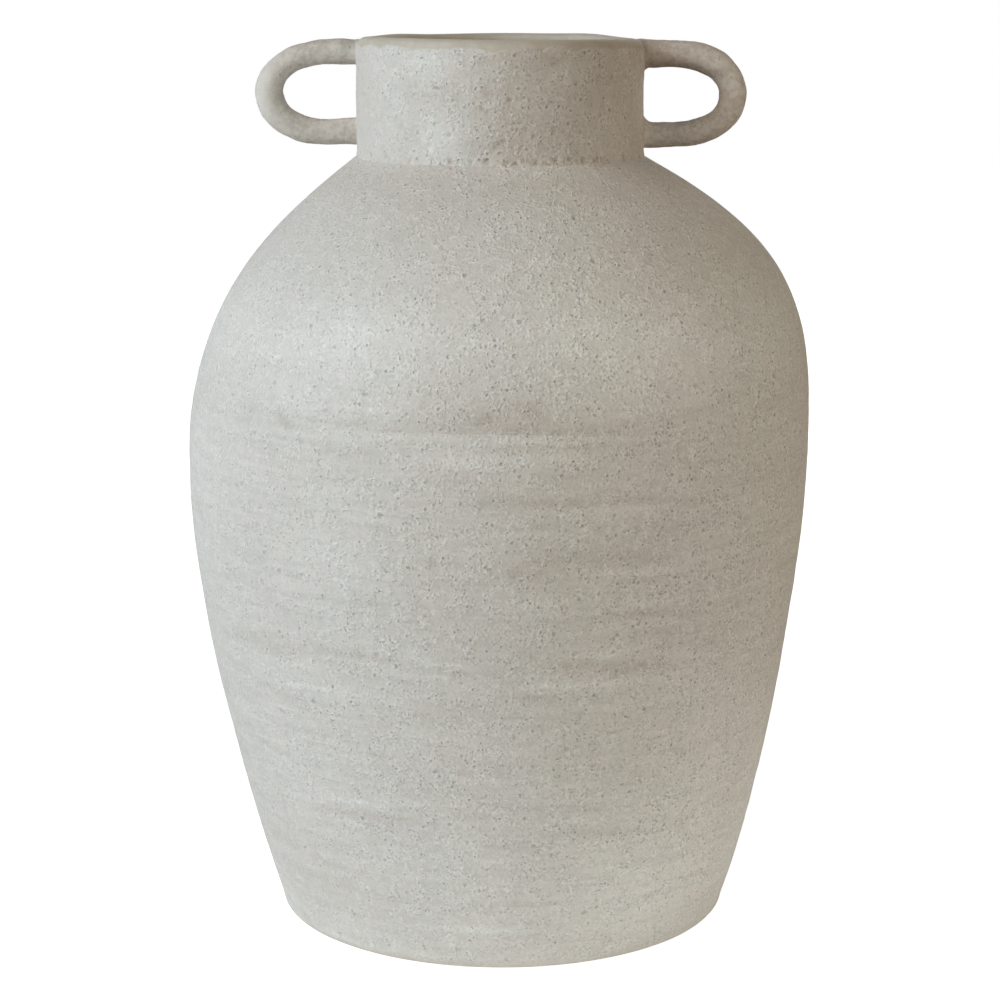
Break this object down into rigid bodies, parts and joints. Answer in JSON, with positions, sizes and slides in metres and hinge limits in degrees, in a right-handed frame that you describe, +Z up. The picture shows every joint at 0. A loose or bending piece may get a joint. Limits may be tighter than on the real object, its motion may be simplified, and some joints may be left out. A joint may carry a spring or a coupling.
{
  "type": "vase",
  "caption": "Round-shouldered stoneware vase with a short wide neck and two small loop handles level with its lip.",
  "frame": {"origin": "centre of the foot's underside, on the surface that the vase stands on", "axes": "+Z up through the mouth, handles along X with the shoulder's fuller side at +X, front towards -Y"},
  "size_m": [0.247, 0.247, 0.35],
  "materials": {
    "gritty_coat": "matt, gritty light grey slip coat with fine pits",
    "handle_coat": "matt, smoother and slightly mottled taupe-grey slip",
    "bare_clay": "smooth bare fired clay, warm taupe, on the lip, inside and underside"
  },
  "bodies": {
    "root": {"foot_slab": "bare_clay", "lower_wall": "gritty_coat", "upper_wall": "gritty_coat", "neck_collar": "gritty_coat", "left_handle": "handle_coat", "right_handle": "handle_coat"}
  },
  "joints": []
}
